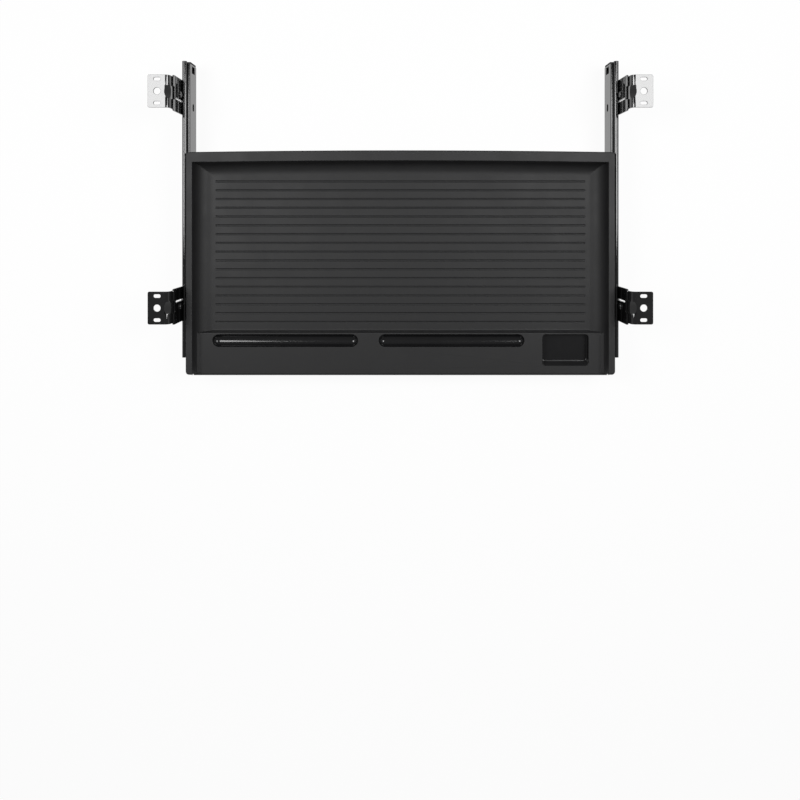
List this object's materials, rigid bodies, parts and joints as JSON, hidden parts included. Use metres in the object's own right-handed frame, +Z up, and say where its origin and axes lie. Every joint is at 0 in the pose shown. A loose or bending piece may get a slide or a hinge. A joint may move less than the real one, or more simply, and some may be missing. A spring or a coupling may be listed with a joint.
{
  "type": "under-desk keyboard tray",
  "caption": "Pull-out keyboard tray with pen troughs and a pocket, on ball-bearing slides hung from height-adjustable desk hangers.",
  "frame": {"origin": "middle of the four round desk holes, on the plane of the desk's underside", "axes": "+X to the user's right, +Y to the rear of the desk, +Z up into the desk"},
  "size_m": [0.5682, 0.373, 0.076],
  "materials": {
    "tray_plastic": "fine moulded grain, satin",
    "black_steel": "gloss black coating",
    "black_fastener": "gloss black coating",
    "zinc_steel": "bright zinc plate",
    "ball_steel": "polished",
    "bumper_rubber": "matt"
  },
  "bodies": {
    "desk_hangers": {"rear_left_hanger": "black_steel", "rear_right_hanger": "black_steel", "front_left_hanger": "black_steel", "front_right_hanger": "black_steel"},
    "slide_frame": {"rear_left_carrier": "black_steel", "rear_right_carrier": "black_steel", "front_left_carrier": "black_steel", "front_right_carrier": "black_steel", "carrier_rivets": "zinc_steel", "clamp_screws": "black_fastener", "clamp_washers": "black_fastener", "clamp_nuts": "black_fastener", "left_outer_slide": "black_steel", "right_outer_slide": "black_steel", "left_rear_bumper": "bumper_rubber", "right_rear_bumper": "bumper_rubber"},
    "tray": {"tray": "tray_plastic", "left_inner_slide": "black_steel", "right_inner_slide": "black_steel", "tray_screws": "zinc_steel"},
    "left_cage": {"left_ball_cage": "zinc_steel", "left_balls": "ball_steel"},
    "right_cage": {"right_ball_cage": "zinc_steel", "right_balls": "ball_steel"}
  },
  "joints": [
    {"name": "height_set", "type": "slide", "parent": "desk_hangers", "child": "slide_frame", "axis": [0, 0, 1], "range_m": [-0.009, 0.009]},
    {"name": "tray_slide", "type": "slide", "parent": "slide_frame", "child": "tray", "axis": [0, -1, 0], "range_m": [0, 0.25]},
    {"name": "left_cage_slide", "type": "slide", "parent": "slide_frame", "child": "left_cage", "axis": [0, -1, 0], "range_m": [0, 0.125]},
    {"name": "right_cage_slide", "type": "slide", "parent": "slide_frame", "child": "right_cage", "axis": [0, -1, 0], "range_m": [0, 0.125]}
  ],
  "couplings": [
    {"joint": "left_cage_slide", "follows": "tray_slide", "ratio": 0.5},
    {"joint": "right_cage_slide", "follows": "tray_slide", "ratio": 0.5}
  ]
}
